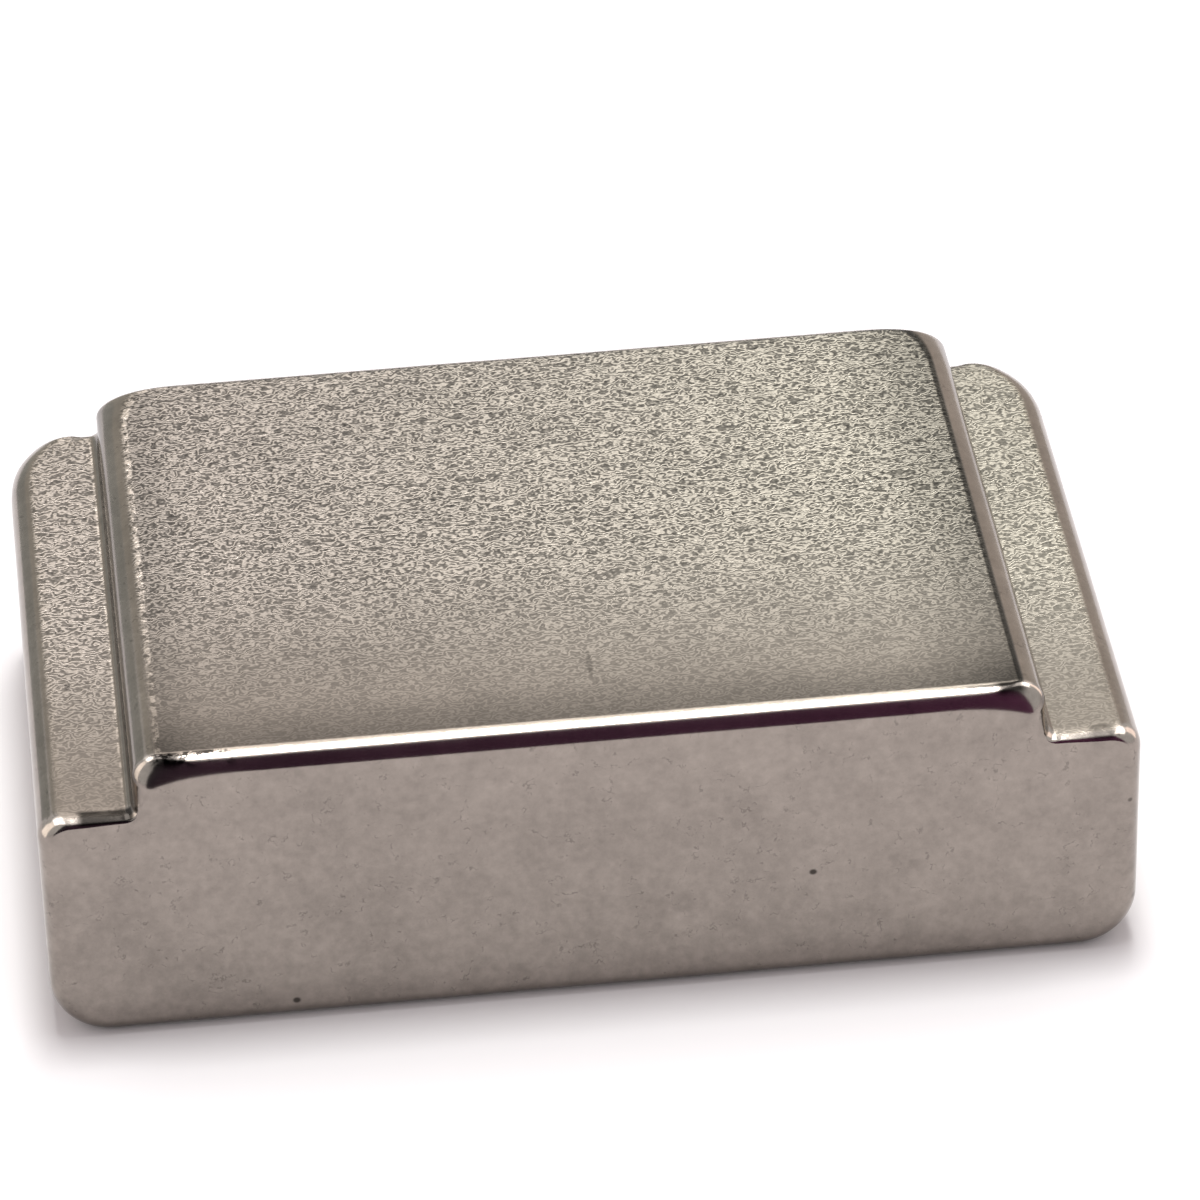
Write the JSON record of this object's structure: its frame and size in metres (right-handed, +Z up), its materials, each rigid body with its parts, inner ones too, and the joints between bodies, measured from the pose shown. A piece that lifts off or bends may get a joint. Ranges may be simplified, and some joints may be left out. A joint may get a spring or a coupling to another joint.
{
  "type": "stepped block magnet",
  "caption": "Solid nickel-plated block magnet with an upside-down T section: a raised flat plateau between two low end ledges, with tumbled round edges.",
  "frame": {"origin": "middle of the underside, at the centre of the block's footprint", "axes": "+X along the block from ledge to ledge, +Y across it, +Z up out of the plateau"},
  "size_m": [0.02, 0.0126, 0.006],
  "materials": {
    "nickel_plating": "satin nickel plating, finely wrinkled on top and smooth on the sides"
  },
  "bodies": {
    "root": {"stepped_block": "nickel_plating"}
  },
  "joints": []
}
